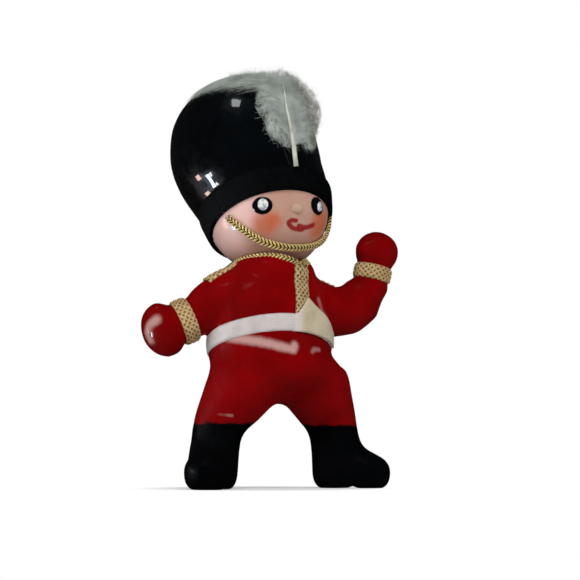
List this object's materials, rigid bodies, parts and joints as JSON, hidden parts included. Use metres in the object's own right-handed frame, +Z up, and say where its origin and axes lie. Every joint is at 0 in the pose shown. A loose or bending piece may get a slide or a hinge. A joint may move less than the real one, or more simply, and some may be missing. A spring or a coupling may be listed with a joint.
{
  "type": "toy soldier figure",
  "caption": "Glossy painted guardsman figure standing with one arm raised; tall black hat with a feather, gold cord and braid, ribbon belt; the head turns on a neck peg.",
  "frame": {"origin": "centre of the figure's bounding box at floor level, under the soles", "axes": "+Z up, -Y the way the figure's chest and face look, +X to the figure's left hand"},
  "size_m": [0.064, 0.041, 0.1022],
  "materials": {
    "jacket_paint": "varnished dark red paint",
    "boot_paint": "varnished black paint",
    "skin_paint": "varnished flesh paint",
    "eye_black": "gloss black paint",
    "eye_white": "gloss white paint",
    "hat_paint": "varnished black paint",
    "hat_ribbon": "matte black ribbed ribbon",
    "feather_shaft": "horn-like off-white shaft",
    "feather_down": "soft off-white down",
    "gold_cord": "twisted metallic gold thread",
    "gold_braid": "woven metallic gold braid",
    "white_satin": "white satin ribbon",
    "cream_ribbon": "cream ribbon with fine lengthwise ridges",
    "peg_wood": "plain turned dowel",
    "pin_wire": "drawn wire"
  },
  "bodies": {
    "figure": {"torso": "jacket_paint", "right_arm": "jacket_paint", "left_arm": "jacket_paint", "right_leg": "jacket_paint", "left_leg": "jacket_paint", "right_boot": "boot_paint", "left_boot": "boot_paint", "collar_cord": "gold_cord", "right_shoulder_braid": "gold_braid", "left_shoulder_braid": "gold_braid", "placket_braid": "gold_braid", "belt": "white_satin", "belt_tail": "cream_ribbon", "right_cuff": "gold_braid", "left_cuff": "gold_braid", "neck_peg": "peg_wood", "right_arm_pin": "pin_wire", "left_arm_pin": "pin_wire", "right_leg_pin": "pin_wire", "left_leg_pin": "pin_wire"},
    "head": {"head": "skin_paint", "nose": "skin_paint", "right_eye": "eye_black", "left_eye": "eye_black", "right_eye_dot": "eye_white", "left_eye_dot": "eye_white", "hat": "hat_paint", "hat_band": "hat_ribbon", "plume_quill": "feather_shaft", "plume_down": "feather_down", "chin_cord": "gold_cord"}
  },
  "joints": [
    {"name": "head_turn", "type": "hinge", "parent": "figure", "child": "head", "pos_m": [-0.00078, -0.00487, 0.053], "axis": [0, 0.1045, 0.9945], "continuous": true}
  ]
}
